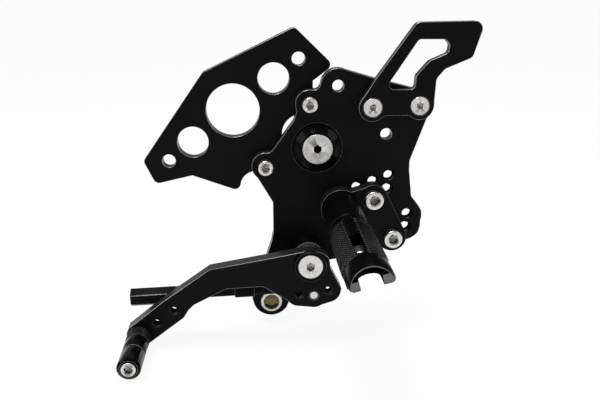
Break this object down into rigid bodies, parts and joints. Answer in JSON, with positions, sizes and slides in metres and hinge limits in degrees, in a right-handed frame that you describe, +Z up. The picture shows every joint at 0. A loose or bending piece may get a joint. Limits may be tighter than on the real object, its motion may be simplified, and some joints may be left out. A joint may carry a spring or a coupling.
{
  "type": "rear sets footrest",
  "caption": "Plate-mounted motorbike rear set: knurled foot peg on a bolted bracket, shift lever with toe peg and adjustable rod, heel guard and drilled adapter plate.",
  "frame": {"origin": "axis of the centre frame screw, at the back face of the main plate", "axes": "+X to the right as the rider's boot sees the outer face, -Y out of the outer face towards the rider's foot, +Z up"},
  "size_m": [0.2286, 0.1665, 0.2044],
  "materials": {
    "black_aluminium": "satin black anodised",
    "black_steel": "black oxide",
    "stainless": "bright stainless",
    "tinted_steel": "bright, warm tint"
  },
  "bodies": {
    "carrier": {"main_plate": "black_aluminium", "adapter_plate": "black_aluminium", "heel_guard": "black_aluminium", "peg_bracket": "black_aluminium", "foot_peg_ring": "black_aluminium", "foot_peg": "black_aluminium", "foot_peg_washer": "stainless", "foot_peg_bolt": "stainless", "cone_washer": "black_aluminium", "centre_screw": "stainless", "lower_frame_screw": "tinted_steel", "plate_screws": "stainless", "guard_screws": "stainless", "bracket_screws": "stainless", "lever_spacer": "black_aluminium", "lever_bush": "stainless", "lever_washer": "black_aluminium", "lever_pivot_screw": "stainless"},
    "lever": {"shift_lever": "black_aluminium", "toe_peg_collar": "black_aluminium", "toe_peg_sleeve": "black_aluminium", "toe_peg_screw": "stainless", "rod_end_washer": "stainless", "rod_end_ball": "stainless", "rod_end_screw": "stainless"},
    "rod": {"rod_coupling": "black_aluminium", "rod_lock_nut": "black_steel", "rod_stud": "black_steel", "rod_end_housing": "black_steel"}
  },
  "joints": [
    {"name": "lever_swing", "type": "hinge", "parent": "carrier", "child": "lever", "pos_m": [-0.0066, -0.037, -0.0692], "axis": [0, 1, 0], "range_deg": [-12, 12]},
    {"name": "rod_swing", "type": "hinge", "parent": "lever", "child": "rod", "pos_m": [-0.00419, -0.0265, -0.09036], "axis": [0, 1, 0], "range_deg": [-14, 14]}
  ]
}
